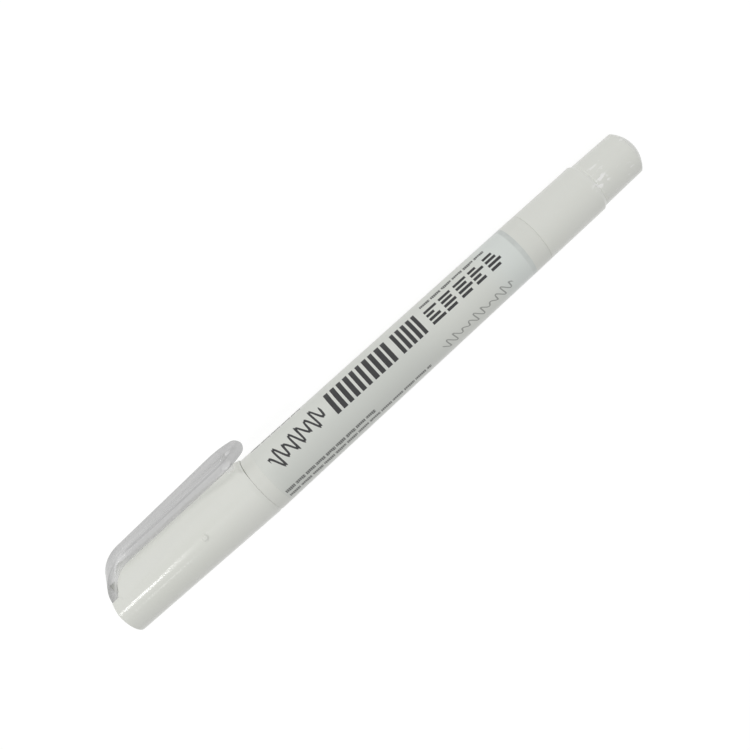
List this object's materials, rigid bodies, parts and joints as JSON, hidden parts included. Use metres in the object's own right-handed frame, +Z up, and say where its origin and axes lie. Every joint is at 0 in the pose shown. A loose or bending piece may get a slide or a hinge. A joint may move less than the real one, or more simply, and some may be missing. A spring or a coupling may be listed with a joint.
{
  "type": "chalk pen",
  "caption": "Slim capped liquid-chalk pen lying on its side: tapered white barrel with a printed film, pull-off cap with a clear arched clip, stepped tail.",
  "frame": {"origin": "bottom centre of the bounding box, on the surface the pen lies on", "axes": "+X along the pen toward the cap's closed end, +Z up, the clip points to -Y and slightly down"},
  "size_m": [0.1392, 0.0182, 0.013],
  "materials": {
    "cap": "satin white moulded polypropylene",
    "clip": "polished clear",
    "inner_cap": "waxy, slightly translucent",
    "barrel": "semi-gloss white",
    "label_sleeve": "satin film with dark printed bars",
    "tail_plug": "satin white moulded polypropylene",
    "nib_holder": "satin",
    "nib": "dense fibre, chalky",
    "valve_seat": "matt",
    "valve_pin": "satin",
    "valve_spring": "bright drawn wire",
    "spring_stop": "satin",
    "mixing_ball": "polished steel"
  },
  "bodies": {
    "barrel": {"barrel": "barrel", "label_sleeve": "label_sleeve", "tail_plug": "tail_plug", "nib_holder": "nib_holder", "valve_seat": "valve_seat", "valve_spring": "valve_spring", "spring_stop": "spring_stop", "mixing_ball": "mixing_ball"},
    "cap": {"cap": "cap", "clip": "clip", "inner_cap": "inner_cap"},
    "nib": {"nib": "nib", "valve_pin": "valve_pin"}
  },
  "joints": [
    {"name": "cap_pull", "type": "slide", "parent": "barrel", "child": "cap", "axis": [1, 0, 0.0092], "range_m": [0, 0.04]},
    {"name": "nib_press", "type": "slide", "parent": "barrel", "child": "nib", "axis": [-1, 0, -0.0092], "range_m": [0, 0.0012], "stiffness_N_per_m": 400, "springref_m": -0.001, "deforming": ["valve_spring"]}
  ]
}
